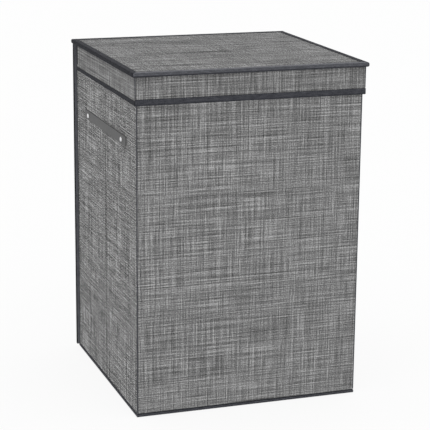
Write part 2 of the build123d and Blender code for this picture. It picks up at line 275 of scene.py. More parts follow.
def tape(name, stations, profile, look, closed=False, seed=3, wave=0.12, other=None, other_on=()):
    """A tape laid along stations of (point, way into the cloth, way out of its face), mitred where they turn.

    The stretches between stations that other_on numbers have the look called other.
    """
    rows, dist, walked, segment = [], [], 0.0, []
    ends = stations + [stations[0]] if closed else stations
    for leg, (a, b) in enumerate(zip(ends, ends[1:])):
        a, b = [np.array(p, float) for p in a], [np.array(p, float) for p in b]
        span = np.linalg.norm(b[0] - a[0])
        count = max(2, int(math.ceil(span / TAPE_CELL)))
        for k in range(count):
            t = k / count
            rows.append([a[c] + (b[c] - a[c]) * t for c in range(3)])
            dist.append(walked + span * t)
            segment.append(leg)
        walked += span
    if not closed:
        rows.append([np.array(p, float) for p in stations[-1]])
    dist.append(walked)
    rows = np.array(rows)
    dist = np.array(dist)
    across = lengths(profile)
    grid = (rows[:, None, 0, :] + rows[:, None, 1, :] * profile[None, :, 0:1]
            + rows[:, None, 2, :] * profile[None, :, 1:2])
    used = dist[:len(rows)]
    u, v = np.meshgrid(used, across, indexing="ij")
    # The legs over the cloth waver a little, and the fold itself stays straight.
    free = (profile[:, 0] > 0).astype(float)[None, :, None]
    wobble = wave * swell(u, v * 0.2, seed, 26.0)
    grid = grid + rows[:, None, 1, :] * (wobble[:, :, None] * free)
    # A tape whose grid would face into the cloth is turned round.
    way = np.cross(rows[min(1, len(rows) - 1), 0] - rows[0, 0], -rows[0, 1])
    uu, vv = np.meshgrid(dist, across, indexing="ij")
    uv = np.stack([uu, vv], axis=-1)
    if float(way @ rows[0, 2]) < 0:
        grid = grid[:, ::-1]
        uv = uv[:, ::-1]
    piece = shell(name, grid, uv, TAPE * 0.9, look, closed)
    if other:
        piece.data.materials.append(other)
        faces_in_row = 2 * (len(profile) - 1) + 2       # both faces and both edges, as shell() makes them
        for face in piece.data.polygons:
            row = min(face.index // faces_in_row, len(segment) - 1)
            face.material_index = int(segment[row] in other_on)
    return piece


def crosswise(name, left, right, path, thickness, turned=False):
    """A tape that runs across the hamper from left to right, bent along a line drawn in Y and Z."""
    xs = marks(left, right, 9.0)
    grid = np.zeros((len(xs), len(path), 3))
    grid[:, :, 0] = xs[:, None]
    grid[:, :, 1:] = path[None, :, :]
    u, v = np.meshgrid(xs, lengths(path), indexing="ij")
    uv = np.stack([u, v], axis=-1)
    if turned:
        grid, uv = grid[::-1], uv[::-1]
    return shell(name, grid, uv, thickness, binding)


# ------------------------------------------------------------- materials

class Look:
    """One material and the nodes that make it."""

    def __init__(self, name, roughness=0.9, metallic=0.0, sheen=0.0, sheen_roughness=0.5, specular=0.5):
        self.material = bpy.data.materials.new(name)
        self.material.use_nodes = True
        self.tree = self.material.node_tree
        self.tree.nodes.clear()
        out = self.tree.nodes.new("ShaderNodeOutputMaterial")
        self.shader = self.tree.nodes.new("ShaderNodeBsdfPrincipled")
        self.tree.links.new(self.shader.outputs[0], out.inputs["Surface"])
        for socket, value in (
            ("Roughness", roughness), ("Metallic", metallic), ("Sheen Weight", sheen),
            ("Sheen Roughness", sheen_roughness), ("Specular IOR Level", specular),
        ):
            self.shader.inputs[socket].default_value = value

    def put(self, socket, value):
        """Link an output to a socket, or set the socket to a value."""
        if isinstance(value, bpy.types.NodeSocket):
            self.tree.links.new(value, socket)
        else:
            socket.default_value = value

    def math(self, kind, a, b=0.0, clamp=False):
        node = self.tree.nodes.new("ShaderNodeMath")
        node.operation = kind
        node.use_clamp = clamp
        self.put(node.inputs[0], a)
        self.put(node.inputs[1], b)
        return node.outputs[0]

    def uv(self):
        node = self.tree.nodes.new("ShaderNodeUVMap")
        node.uv_map = "UVMap"
        return node.outputs[0]

    def place(self):
        return self.tree.nodes.new("ShaderNodeTexCoord").outputs["Object"]

    def split(self, vector):
        node = self.tree.nodes.new("ShaderNodeSeparateXYZ")
        self.put(node.inputs[0], vector)
        return node.outputs

    def stretch(self, vector, scale, move=(0, 0, 0)):
        node = self.tree.nodes.new("ShaderNodeMapping")
        self.put(node.inputs["Vector"], vector)
        node.inputs["Scale"].default_value = scale
        node.inputs["Location"].default_value = move
        return node.outputs[0]

    def noise(self, vector, scale=1.0, detail=1.0, distortion=0.0):
        node = self.tree.nodes.new("ShaderNodeTexNoise")
        self.put(node.inputs["Vector"], vector)
        node.inputs["Scale"].default_value = scale
        node.inputs["Detail"].default_value = detail
        node.inputs["Distortion"].default_value = distortion
        return node.outputs["Fac"]

    def cells(self, vector, scale):
        node = self.tree.nodes.new("ShaderNodeTexVoronoi")
        self.put(node.inputs["Vector"], vector)
        node.inputs["Scale"].default_value = scale
        return node.outputs["Distance"]

    def sharpen(self, value, low, high):
        node = self.tree.nodes.new("ShaderNodeMapRange")
        self.put(node.inputs["Value"], value)
        node.inputs["From Min"].default_value = low
        node.inputs["From Max"].default_value = high
        return node.outputs[0]

    def ramp(self, value, stops):
        node = self.tree.nodes.new("ShaderNodeValToRGB")
        self.put(node.inputs[0], value)
        elements = node.color_ramp.elements
        while len(elements) < len(stops):
            elements.new(0.5)
        for element, (at, colour) in zip(elements, stops):
            element.position = at
            element.color = (*colour, 1.0)
        return node.outputs[0]

    def bump(self, height, distance, strength=1.0):
        node = self.tree.nodes.new("ShaderNodeBump")
        node.inputs["Strength"].default_value = strength
        node.inputs["Distance"].default_value = distance
        self.put(node.inputs["Height"], height)
        self.put(self.shader.inputs["Normal"], node.outputs[0])

    def colour(self, value):
        self.put(self.shader.inputs["Base Color"], value)

    def rough(self, value):
        self.put(self.shader.inputs["Roughness"], value)


def shade(tone, tint=(0.0, 0.0, 0.0)):
    """The linear colour of an sRGB tone from 0 to 255, with a small tint added to it."""
    out = []
    for extra in tint:
        s = max(0.0, tone + extra) / 255.0
        out.append(s / 12.92 if s <= 0.04045 else ((s + 0.055) / 1.055) ** 2.4)
    return tuple(out)


def stitches(look, along, across, at):
    """1 on a row of stitches that runs at that distance across the tape, and 0 beside it."""
    pitch, half_width, sewn_part = 0.0032, 0.00035, 0.66
    off = look.math("ABSOLUTE", look.math("SUBTRACT", across, at))
    row = look.math("LESS_THAN", off, half_width)
    beat = look.math("FRACT", look.math("DIVIDE", along, pitch))
    return look.math("MULTIPLY", row, look.math("LESS_THAN", beat, sewn_part))


def threads(look, u, v, pitch):
    """The up and down of a plain weave, from -1 to 1."""
    turn = 2 * math.pi / pitch
    a = look.math("SINE", look.math("MULTIPLY", u, turn))
    b = look.math("SINE", look.math("MULTIPLY", v, turn))
    return look.math("MULTIPLY", a, b)


def slubs(look, uv, across, along, shift):
    """Streaks that run along V, or along U when the two scales are swapped, long ones among shorter ones."""
    drawn_out, finer = 0.28, 1.12
    if across > along:
        long_scale, short_scale = (across, along * drawn_out, 1), (across * finer, along, 1)
    else:
        long_scale, short_scale = (across * drawn_out, along, 1), (across, along * finer, 1)
    long = look.sharpen(look.noise(look.stretch(uv, long_scale, shift), detail=1.5), 0.36, 0.64)
    short = look.sharpen(look.noise(look.stretch(uv, short_scale, shift), detail=1.0), 0.36, 0.64)
    return look.math("SUBTRACT", look.math("MULTIPLY", look.math("ADD", long, short), 0.5), 0.5)


def regular(look, at, pitch, bend):
    """An even row of threads, pushed to and fro a little."""
    phase = look.math("ADD", look.math("MULTIPLY", at, 2 * math.pi / pitch), look.math("MULTIPLY", bend, 9.0))
    return look.math("SINE", phase)


# The UV maps are in metres, so noise scales are per metre and pitches are in metres.
THREADS = 430               # usual noise scale of the slubs, across their length
ROW_PITCH = 0.0053          # spacing of the even rows of threads, at that number


def woven_look(name, tone, spread, warp=1.0, weft=1.0, grain=1.0, move=0.0, across=THREADS, up=THREADS,
               reach=18, rows=0.1, mottle=0.7, shade_crease=False):
    """Linen-like cover cloth: slubs along and across, in soft patches, over a fine plain weave."""
    look = Look(name, roughness=0.92, sheen=0.02, specular=0.2)
    uv = look.uv()
    u, v, _ = look.split(uv)
    shift = (move, move * 0.7, 0)
    down = slubs(look, uv, across, 18, shift)
    over = slubs(look, uv, reach, up, shift)
    bend = look.noise(look.stretch(uv, (11, 11, 1), shift), detail=1.0)
    even_down = regular(look, u, ROW_PITCH * THREADS / across, bend)
    even_over = regular(look, v, ROW_PITCH * THREADS / up, bend)
    down = look.math("ADD", down, look.math("MULTIPLY", even_down, rows))
    over = look.math("ADD", over, look.math("MULTIPLY", even_over, rows))
    patch = look.sharpen(look.noise(look.stretch(uv, (62, 62, 1), shift), detail=1.0), 0.35, 0.65)
    fleck_scale = (across * 1.1, up * 1.1, 1)
    fleck = look.sharpen(look.noise(look.stretch(uv, fleck_scale, shift), detail=1.0), 0.3, 0.7)
    down_part = look.math("MULTIPLY", look.math("MULTIPLY", down, warp),
                          look.math("ADD", look.math("MULTIPLY", patch, mottle), 0.95 - mottle / 2))
    over_part = look.math("MULTIPLY", look.math("MULTIPLY", over, weft),
                          look.math("SUBTRACT", 0.95 + mottle / 2, look.math("MULTIPLY", patch, mottle)))
    fleck_part = look.math("MULTIPLY", look.math("SUBTRACT", fleck, 0.5), grain)
    weave = look.math("ADD", look.math("ADD", down_part, over_part), fleck_part)
    fine = threads(look, u, v, 0.0011)
    value = look.math("ADD", weave, look.math("MULTIPLY", fine, 0.08))
    value = look.math("ADD", look.math("MULTIPLY", value, 0.5), 0.5)
    # Painted shade along a crease at U nought, darkest on it and gone 2.1 mm to either side.
    if shade_crease:
        crease_half, crease_shade = 0.0021, 0.42
        off = look.math("DIVIDE", look.math("ABSOLUTE", u), crease_half)
        near = look.math("SUBTRACT", 1.0, off, clamp=True)
        value = look.math("SUBTRACT", value, look.math("MULTIPLY", near, crease_shade))
    tones = [(0.0, shade(tone - spread)), (0.5, shade(tone)), (1.0, shade(tone + spread))]
    look.colour(look.ramp(value, tones))
    height = look.math("ADD", look.math("MULTIPLY", weave, 0.6), look.math("MULTIPLY", fine, 0.35))
    look.bump(height, 0.00012, 0.6)
    return look.material


def binding_look(name, tone, row=0.0018, lift=0.0, lift_from=-1.0, lift_to=0.0):
    """Ribbed binding tape with a row of stitches near its free edge.

    lift lightens the part of the tape's width that is between lift_from and lift_to, in millimetres, as
    painted light on a lit face of the tape.
    """
    look = Look(name, roughness=0.85, sheen=0.01, sheen_roughness=0.4, specular=0.12)
    uv = look.uv()
    u, v, _ = look.split(uv)
    ribs = look.math("SINE", look.math("MULTIPLY", u, 2 * math.pi / 0.0009))
    worn = look.noise(look.stretch(uv, (90, 260, 1)), detail=2.0)
    fleck = look.noise(look.stretch(uv, (520, 520, 1)), detail=1.0)
    sewn = stitches(look, u, v, row)
    mottled = look.math("ADD", look.math("MULTIPLY", worn, 0.5), look.math("MULTIPLY", fleck, 0.5))
    value = look.math("ADD", look.math("MULTIPLY", ribs, 0.04), mottled)
    value = look.math("ADD", value, look.math("MULTIPLY", sewn, 0.22))
    # Painted shade: the tape is darkened towards both edges of its outer leg, where it folds and where it
    # meets the cloth, so it is brightest along the middle of that leg.
    across = look.math("DIVIDE", v, TAPE_LEG * MM / 2)
    edges = look.math("POWER", look.math("ABSOLUTE", look.math("SUBTRACT", across, 1.0), clamp=True), 3.0)
    value = look.math("ADD", value, look.math("SUBTRACT", 0.08, look.math("MULTIPLY", edges, 0.2)))
    # Painted light on a lit face of the tape, between lift_from and lift_to.
    if lift:
        above = look.math("GREATER_THAN", v, lift_from * MM)
        below = look.math("LESS_THAN", v, lift_to * MM)
        painted_light_strip = look.math("MULTIPLY", above, below)
        value = look.math("ADD", value, look.math("MULTIPLY", painted_light_strip, lift))
    blue = (0.0, 1.0, 6.0)
    tones = ((0.25, tone - 22), (0.5, tone), (0.75, tone + 22), (1.0, tone + 60))
    look.colour(look.ramp(value, [(at, shade(each, blue)) for at, each in tones]))
    height = look.math("ADD", look.math("MULTIPLY", ribs, 0.25), look.math("MULTIPLY", sewn, -0.8))
    look.bump(height, 0.00015, 0.7)
    return look.material


def lining_look(name, tone):
    """Non-woven lining, pressed with rows of small ovals."""
    look = Look(name, roughness=0.95, specular=0.2)
    uv = look.uv()
    u, v, _ = look.split(uv)
    turn = 2 * math.pi
    a = look.math("SINE", look.math("MULTIPLY", look.math("ADD", u, v), turn / 0.0024))
    b = look.math("SINE", look.math("MULTIPLY", look.math("SUBTRACT", u, v), turn / 0.0024))
    dots = look.sharpen(look.math("MULTIPLY", a, b), 0.35, 0.8)
    fibre = look.noise(look.stretch(uv, (700, 260, 1)), detail=3.0, distortion=0.6)
    value = look.math("SUBTRACT", fibre, look.math("MULTIPLY", dots, 0.14))
    look.colour(look.ramp(value, [(0.2, shade(tone - 14)), (0.8, shade(tone + 14))]))
    look.bump(look.math("SUBTRACT", look.math("MULTIPLY", fibre, 0.4), dots), 0.0001, 0.6)
    return look.material


def strap_look(name, tone):
    """Smooth faux leather with a fine grain and a sewn line along each edge."""
    look = Look(name, roughness=0.55, specular=0.22)
    uv = look.uv()
    u, v, _ = look.split(uv)
    grain = look.cells(look.stretch(uv, (1.0, 1.0, 1)), 1100)
    cloud = look.noise(look.stretch(uv, (60, 120, 1)), detail=3.0)
    near_row, far_row = 0.0020, 0.0150
    sewn = look.math("ADD", stitches(look, u, v, near_row), stitches(look, u, v, far_row))
    value = look.math("ADD", look.math("MULTIPLY", cloud, 0.8), look.math("MULTIPLY", grain, 0.2))
    value = look.math("SUBTRACT", value, look.math("MULTIPLY", sewn, 0.2))
    look.colour(look.ramp(value, [(0.1, shade(tone - 12)), (0.9, shade(tone + 12))]))
    look.rough(look.sharpen(cloud, -1.2, 1.9))
    height = look.math("SUBTRACT", look.math("MULTIPLY", grain, 0.6), look.math("MULTIPLY", sewn, 0.9))
    look.bump(height, 0.00012, 0.5)
    return look.material


def rivet_look():
    """Nickelled rivet, lightly brushed and marked by handling."""
    look = Look("rivet_nickel", roughness=0.25, metallic=1.0)
    place = look.place()
    cloud = look.noise(place, scale=420.0, detail=3.0)
    scratch = look.noise(look.stretch(place, (300, 2600, 2600)), detail=2.0)
    look.colour(look.ramp(cloud, [(0.3, (0.62, 0.62, 0.63)), (0.7, (0.86, 0.86, 0.87))]))
    look.rough(look.sharpen(scratch, -0.5, 2.2))
    look.bump(scratch, 0.00003, 0.4)
    return look.material


def board_look():
    """Grey chipboard, with the flecks and fibres of recycled paper."""
    look = Look("grey_board", roughness=0.9, specular=0.2)
    place = look.place()
    fibre = look.noise(look.stretch(place, (240, 240, 900)), detail=4.0)
    fleck = look.cells(place, 260)
    value = look.math("ADD", look.math("MULTIPLY", fibre, 0.7), look.math("MULTIPLY", fleck, 0.3))
    look.colour(look.ramp(value, [(0.25, (0.16, 0.145, 0.125)), (0.75, (0.30, 0.275, 0.24))]))
    look.bump(fibre, 0.0001, 0.4)
    return look.material


def floor_look():
    """Matt white studio floor with a barely visible unevenness."""
    look = Look("studio_floor", roughness=1.0, specular=0.0)
    cloud = look.noise(look.place(), scale=3.0, detail=2.0)
    look.colour(look.ramp(cloud, [(0.0, (0.118, 0.118, 0.118)), (1.0, (0.122, 0.122, 0.122))]))
    look.shader.inputs["Emission Color"].default_value = (1.0, 1.0, 1.0, 1.0)
    look.shader.inputs["Emission Strength"].default_value = 0.872
    return look.material


BEYOND = 99.0               # further than any tape is wide, in millimetres

cover = woven_look("woven_cover", 117, 70, warp=0.85, weft=1.0, grain=0.75, reach=11, rows=0.07)
side_cloth = woven_look("woven_cover_side", 94, 112, warp=1.0, weft=0.9, grain=1.6, move=3.1, across=400,
                        up=470, shade_crease=True)
top_cloth = woven_look("woven_cover_top", 102, 94, warp=0.6, weft=1.5, grain=1.3, move=7.7, up=330, reach=11,
                       mottle=0.35)
skirt_cloth = woven_look("woven_cover_skirt", 111, 62, warp=1.0, weft=0.9, grain=0.7, move=5.3, reach=11)
binding = binding_look("binding_tape", 53)
# Copies of the same charcoal tape in other tones: this one and the next have painted shade, for the lid's
# sides and for the skirt's side hems and end tapes.
shaded_binding = binding_look("binding_tape_painted_shade", 43)
shaded_side_hem_binding = binding_look("binding_tape_side_hem_painted_shade", 33)
# Painted shade on the flanges' outer leg and web, and painted light on their front-facing inner leg.
lit_and_shaded_flange_tape = binding_look("binding_tape_flange", 40, lift=0.60, lift_from=TAPE_LEG + WALL + 1.9,
                              lift_to=BEYOND)
# Painted light: a much brighter copy of the tape, for the stretches over the flanges' tops.
lit_flange_top_tape = binding_look("binding_tape_flange_top_painted_light", 104)
# Painted light: a brighter copy of the tape for the lid's front, with more painted light on its top leg and
# round its edge.
lit_lid_front_tape = binding_look("binding_tape_lid_painted_light", 62, lift=0.30, lift_to=TAPE_LEG + 4.4)
piping_tape = binding_look("piping_tape", 56, row=0.1)
lining = lining_look("lining_felt", 62)
strap_hide = strap_look("strap_hide", 77)
nickel = rivet_look()
grey_board = board_look()


# ----------------------------------------------------------------- walls

def plan(points, radius=CORNER, step=CELL):
    """The line of a sheet seen from above, with its corners rounded."""
    return rounded(points, radius, step)


def wall_felt(body, ends, seed):
    """The lining on the inner face of a wall."""
    felt = upright(f"{body}_lining_felt", plan(ends), WALL_LOW + FELT_SHORT, WALL_HIGH - FELT_SHORT, LINING,
                   lining, seed=seed, bow=0.1)
    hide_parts(f"{body}_lining")
    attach(felt, body)


def front_wall():
    """The front wall's cloth, which goes round the wall's upright edges, and its lining."""
    inside = FRONT_Y + WALL - TUCK
    path = plan([(-WALL_X, inside), (-WALL_X, FRONT_Y), (WALL_X, FRONT_Y), (WALL_X, inside)])
    cloth = upright("front_fabric", path, WALL_LOW, WALL_HIGH, CLOTH, cover, seed=11)
    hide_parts("front_cover")
    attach(cloth, "front")
    short = 1.1
    wall_felt("front", [(WALL_X - short, inside + TUCK), (-WALL_X + short, inside + TUCK)], 12)


def bend_over_crease(piece):
    """Bake a piece's placement into its mesh."""
    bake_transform(piece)


def crease_along(points):
    """How far along a side wall's plan line its crease is."""
    return float(lengths(points)[np.argmin(np.abs(points[:, 1] - CREASE_Y))])


def side_wall(side, name):
    """Both halves of a side wall under one sheet, which creases where they fold, and their linings."""
    inside, near_crease = WALL_X - WALL + TUCK, 1.5
    points = [(inside, SIDE_REAR), (WALL_X, SIDE_REAR), (WALL_X, CREASE_Y + near_crease),
              (WALL_X, CREASE_Y - near_crease), (WALL_X, SIDE_FRONT), (inside, SIDE_FRONT)]
    points = [(side * x, y) for x, y in points]
    path = plan(points if side < 0 else points[::-1], step=3.0)
    cloth = upright(f"{name}_side_fabric", path, WALL_LOW, WALL_HIGH, CLOTH, side_cloth,
                    seed=21 + side, groove=(CREASE_Y, 0.9, 1.6), origin=crease_along(path))
    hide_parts(f"{name}_rear_cover", f"{name}_front_cover")
    bend_over_crease(cloth)
    short = 0.8
    for half, low, high in (("rear", REAR_HALF_END, SIDE_REAR), ("front", SIDE_FRONT, FRONT_HALF_END)):
        face = side * (WALL_X - WALL)
        ends = [(face, low + short), (face, high - short)]
        wall_felt(f"{name}_{half}", ends if side < 0 else ends[::-1], 31 + side)


def back_wall():
    """The back wall's cloth and lining, and the gussets that it holds at the side walls' rear ends."""
    inside = BACK_Y - WALL
    path = plan([(BACK_X, inside + TUCK), (BACK_X, BACK_Y), (-BACK_X, BACK_Y), (-BACK_X, inside + TUCK)])
    cloth = upright("back_fabric", path, WALL_LOW, WALL_HIGH, CLOTH, cover, seed=41)
    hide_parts("back_cover")
    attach(cloth, "back")
    short = 0.8
    wall_felt("back", [(-BACK_X + short, inside), (BACK_X - short, inside)], 42)
    near, far = GUSSET_LOW[1] + 0.1, GUSSET_HIGH[1] - 0.2
    low, high = GUSSET_LOW[2] + 0.2, GUSSET_HIGH[2] - 0.2
    for side, name in SIDES:
        face, hidden = side * WALL_X, side * (WALL_X - WALL + TUCK)
        points = [(hidden, far), (face, far), (face, near), (hidden, near)]
        path = plan(points if side < 0 else points[::-1], radius=1.2, step=2.0)
        gusset = upright(f"{name}_gusset_fabric", path, low, high, CLOTH, side_cloth, seed=43,
                         bow=0.1)
        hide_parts(f"{name}_rear_gusset")
        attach(gusset, "back")


def edge_tape(name, body, a, b, into, out, profile, node, look=None):
    """A tape over one straight edge, on the body of the wall it binds."""
    stations = [(np.array(p, float), np.array(into, float), np.array(out, float)) for p in (a, b)]
    piece = tape(name, stations, profile, look or binding, seed=len(name))
    if node:
        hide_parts(node)
    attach(piece, body)


def wall_tapes():
    """The folded tape over the top and the foot of each wall, and up the back wall's flanges."""
    top = fold_profile(WALL, TAPE_LEG, TAPE_LEG)
    foot = fold_profile(WALL, HEM_LEG / 2, HEM_LEG, radius=0.9)
    edges = [("front", (-WALL_X, FRONT_Y), (WALL_X, FRONT_Y), (0, -1, 0))]
    for side, name in SIDES:
        x, out = side * WALL_X, (side, 0, 0)
        edges.append((f"{name}_rear", (x, REAR_HALF_END), (x, SIDE_REAR), out))
        edges.append((f"{name}_front", (x, SIDE_FRONT), (x, FRONT_HALF_END), out))
    up, down = (0, 0, 1), (0, 0, -1)
    for body, a, b, out in edges:
        edge_tape(f"{body}_top_tape", body, (*a, WALL_HIGH), (*b, WALL_HIGH), down, out, top,
                  f"{body}_top_binding")
        edge_tape(f"{body}_hem_tape", body, (*a, WALL_LOW), (*b, WALL_LOW), up, out, foot,
                  f"{body}_hem_binding")
    out = (0, 1, 0)
    edge_tape("back_hem_tape", "back", (-BACK_X, BACK_Y, WALL_LOW), (BACK_X, BACK_Y, WALL_LOW), up, out, foot,
              "back_hem_binding")
    # The back's top tape has no leg on the rear face, where the lid's hinge tape is.
    over = WALL + TAPE + 0.07
    bare = rounded([(-TAPE, 0.0), (-TAPE, -over), (TAPE_LEG, -over)], 1.6, step=2.0, turns=4)
    run = [((x, BACK_Y, WALL_HIGH), down, out) for x in (-BACK_X, -WALL_X, WALL_X, BACK_X)]
    # The stretches over the flanges take the copy of the tape with painted light.
    across = tape("back_top_tape", run, bare, binding, seed=13, other=lit_flange_top_tape, other_on=(0, 2))
    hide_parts("back_top_binding")
    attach(across, "back")
    flange = fold_profile(WALL, TAPE_LEG, BACK_X - WALL_X - 0.3)
    # The flanges' edge tapes have painted shade on the outer leg and web, and painted light on the
    # front-facing inner leg.
    for side, name in SIDES:
        foot, head = (side * BACK_X, BACK_Y, HEM_TOP), (side * BACK_X, BACK_Y, WALL_HIGH + TAPE - 0.2)
        edge_tape(f"back_{name}_edge_tape", "back", foot, head, (-side, 0, 0), out, flange,
                  f"back_{name}_edge_binding", look=lit_and_shaded_flange_tape)


def corner_piping():
    """The narrow piping up the upright edges of the front wall and of the lid's skirt."""
    sunk = 0.35
    for side, name in SIDES:
        centre = (side * (WALL_X - sunk), FRONT_Y + sunk)
        piping(f"front_{name}_piping", centre, HEM_TOP + 0.2, TOP_TAPE_FOOT - 0.2, 0.95, "front")
        centre = (side * (SKIRT_X - sunk), SKIRT_Y + sunk)
        piping(f"skirt_{name}_piping", centre, SKIRT_BAND_TOP + 0.1, LID_LOW - 0.1, 0.85, "lid")


def piping(name, centre, low, high, radius, body):
    """A thin, slightly uneven tube that stands at centre."""
    sides = 12
    levels = marks(low, high, 3.0)
    turn = np.linspace(0, 2 * math.pi, sides + 1)[:-1]
    r = radius * (1 + 0.07 * np.sin(levels * 2.1)[None, :])
    x = centre[0] + r * np.cos(turn)[:, None]
    y = centre[1] + r * np.sin(turn)[:, None]
    grid = np.stack([x, y, np.broadcast_to(levels, x.shape)], axis=-1)
    around = np.arange(sides + 1) * (2 * math.pi * radius / sides)
    v, u = np.meshgrid(around, levels, indexing="ij")
    piece = shell(name, grid, np.stack([u, v], axis=-1), radius * 0.6, piping_tape, closed=True)
    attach(piece, body)


# ------------------------------------------------------------------- lid

def lid():
    """The lid's top cloth and lining, and the tapes round its edge."""
    inset = 2.0
    low, high = (-LID_X + inset, LID_FRONT + inset), (LID_X - inset, LID_REAR - 0.3)
    top = flat("lid_top_fabric", low, high, LID_TOP, True, CLOTH, top_cloth, seed=51)
    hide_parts("lid_cover")
    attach(top, "lid")
    under = flat("lid_lining_felt", low, high, LID_LOW, False, LINING, lining, seed=52)
    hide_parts("lid_lining")
    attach(under, "lid")
    thick = LID_TOP - LID_LOW
    ledge = LID_X - SKIRT_X - 0.5
    under_lid = -thick - 0.5
    profile = rounded([(TAPE_LEG, TAPE), (-TAPE, TAPE), (-TAPE, under_lid), (ledge, under_lid)], 2.4,
                      step=2.0, turns=5)
    # Painted light: the front stretch takes the brighter copy of the tape, from the middle of the left front
    # corner to one step into the right one; the sides take the copy with painted shade.
    lit_stretches = range(2 + CORNER_TURNS // 2, 4 + CORNER_TURNS + CORNER_TURNS // 2)
    edge = tape("lid_edge_tape", lid_edge(), profile, shaded_binding, seed=53, other=lit_lid_front_tape,
                other_on=lit_stretches)
    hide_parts("lid_edge_binding")
    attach(edge, "lid")
    over, behind = TAPE + 0.06, -0.1
    rear = rounded([(TAPE_LEG, over), (behind, over), (behind, -thick + 0.4)], 1.2, step=2.0, turns=4)
    run = [((x, LID_REAR, LID_TOP), (0, -1, 0), (0, 0, 1)) for x in (-LID_X + 1.0, LID_X - 1.0)]
    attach(tape("lid_rear_tape", run, rear, binding, seed=54), "lid")


def lid_edge():
    """Stations for the lid's edge tape: down one side, round two soft corners and up the other side."""
    up, inwards = (0, 0, 1.0), (1, 0, 0)
    deep = 1.2 * TAPE_LEG
    left = [((-LID_X, y, LID_TOP), inwards, up) for y in (LID_REAR, LID_FRONT + deep)]
    meet = np.array([-LID_X + TAPE_LEG, LID_FRONT + deep])
    centre = np.array([-LID_X + LID_CORNER, LID_FRONT + LID_CORNER])
    for k in range(CORNER_TURNS + 1):
        turn = math.radians(180 + 90 * k / CORNER_TURNS)
        point = centre + LID_CORNER * np.array([math.cos(turn), math.sin(turn)])
        into = (meet - point) / TAPE_LEG
        left.append(((point[0], point[1], LID_TOP), (into[0], into[1], 0), up))
    left.append(((-LID_X + TAPE_LEG, LID_FRONT, LID_TOP), (0, deep / TAPE_LEG, 0), up))
    right = [((-p[0], p[1], p[2]), (-into[0], into[1], 0), up) for p, into, _ in left[::-1]]
    return left + right


def skirt():
    """The lid's skirt: its cloth, its lining and the tapes along its foot and down its rear ends."""
    hidden = SKIRT_INNER_X + 0.3
    points = [(-hidden, SKIRT_REAR), (-SKIRT_X, SKIRT_REAR), (-SKIRT_X, SKIRT_Y), (SKIRT_X, SKIRT_Y),
              (SKIRT_X, SKIRT_REAR), (hidden, SKIRT_REAR)]
    path = plan(points, radius=1.3, step=4.0)
    cloth = upright("skirt_fabric", path, SKIRT_LOW, LID_LOW, CLOTH, skirt_cloth, seed=61,
                    bow=0.15)
    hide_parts("skirt_front_cover", "skirt_left_cover", "skirt_right_cover")
    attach(cloth, "lid")
    x, y = SKIRT_INNER_X - 0.05, SKIRT_INNER_Y + 0.05
    rear = SKIRT_REAR - 0.4
    path = plan([(x, rear), (x, y), (-x, y), (-x, rear)], radius=0.5)
    inner = upright("skirt_lining_felt", path, SKIRT_LOW + 0.2, LID_LOW - 0.1, 0.4, lining, seed=62,
                    bow=0.0)
    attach(inner, "lid")
    thick = SKIRT_X - SKIRT_INNER_X
    profile = fold_profile(thick, TAPE_LEG, TAPE_LEG, radius=1.3)
    # A shorter way into the cloth makes the same profile reach less far up it.
    in_front, side_front, side_rear = (0, 0, 0.92), (0, 0, 0.74), (0, 0, 0.6)
    run = [((side * SKIRT_X, SKIRT_Y, SKIRT_LOW), in_front, (side, -1, 0)) for side, _ in SIDES]
    hem = tape("skirt_front_hem_tape", run, profile, binding, seed=63)
    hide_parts("skirt_binding")
    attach(hem, "lid")
    # Painted shade: the side hems, and the end tapes below, take the darker copy of the tape.
    for side, name in SIDES:
        run = [((side * SKIRT_X, SKIRT_REAR, SKIRT_LOW), side_rear, (side, 0, 0)),
               ((side * SKIRT_X, SKIRT_Y, SKIRT_LOW), side_front, (side, -1, 0))]
        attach(tape(f"skirt_{name}_hem_tape", run, profile, shaded_side_hem_binding, seed=64 + side), "lid")
    end = fold_profile(thick, TAPE_LEG / 2, TAPE_LEG / 2, radius=0.9)
    for side, name in SIDES:
        foot, head = ((side * SKIRT_X, SKIRT_REAR, z) for z in (SKIRT_BAND_TOP + 0.1, LID_LOW - 0.2))
        edge_tape(f"skirt_{name}_end_tape", "lid", foot, head, (0, -1, 0), (side, 0, 0), end, None,
                  look=shaded_side_hem_binding)


def lid_hinge():
    """The tape that joins the lid's rear edge to the back wall."""
    low, high = mm_box("lid_hinge_tape")
    face = high[1]
    path = rounded([(face - 0.1, low[2]), (face, high[2] + 0.1), (face - 2.5, high[2] + 0.4)], 0.9, step=1.5,
                   turns=6)
    piece = crosswise("lid_hinge_fabric", low[0], high[0], path, 0.5, turned=True)
    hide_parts("lid_hinge_tape")
    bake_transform(piece)


# ------------------------------------------------------------------ base

def floor_cloth():
    """The soft floor and the tape round it, which go with the back wall."""
    low, high = mm_box("floor_panel")
    inset, under, thick = 0.2, 0.1, 0.6
    sheet = flat("floor_fabric", low[:2] + inset, high[:2] - inset, under, False, thick, lining,
                 seed=71)
    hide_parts("floor_panel")
    edge_low, edge_high = mm_box("floor_edge_binding")
    tall = edge_high[2]
    profile = rounded([(1.5, tall), (0.0, tall), (0.0, 0.0), (3.2, 0.0)], 0.7, step=1.5, turns=4)
    up = (0, 0, 1.0)
    front, rear, x = edge_low[1], edge_high[1], edge_high[0]
    corners = [((-x, rear, 0), (1, -1, 0), up), ((-x, front, 0), (1, 1, 0), up),
               ((x, front, 0), (-1, 1, 0), up), ((x, rear, 0), (-1, -1, 0), up)]
    ring = tape("floor_edge_tape", corners, profile, binding, closed=True, seed=72, wave=0.0)
    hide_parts("floor_edge_binding")
    for piece in (sheet, ring):
        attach(piece, "back")
        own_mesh(piece)


